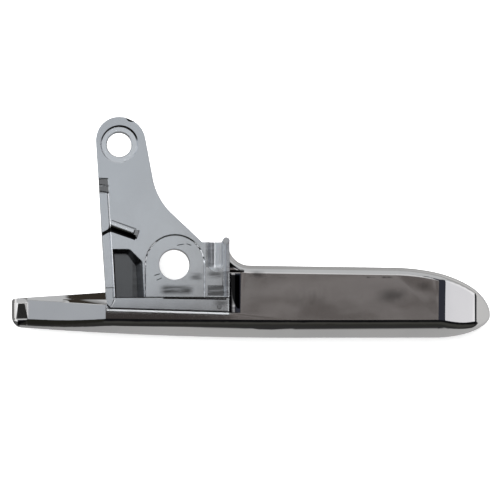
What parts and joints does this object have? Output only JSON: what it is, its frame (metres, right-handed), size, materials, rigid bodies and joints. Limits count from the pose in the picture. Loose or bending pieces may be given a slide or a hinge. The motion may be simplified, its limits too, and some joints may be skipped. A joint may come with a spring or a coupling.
{
  "type": "car interior door handle",
  "caption": "Inside door pull lever: crowned grip with a tapered tail, and a pull arm that carries a pivot bore and a cable hole.",
  "frame": {"origin": "centre of the pivot bore at its washer seat", "axes": "+Z out of the pivot bore's open face, +X along the grip to its rounded nose, +Y into the door towards the cable hole"},
  "size_m": [0.1268, 0.0572, 0.0259],
  "materials": {
    "chrome": "bright plated casting, polished on the grip and satin on the arm"
  },
  "bodies": {
    "root": {"handle_lever": "chrome"}
  },
  "joints": []
}
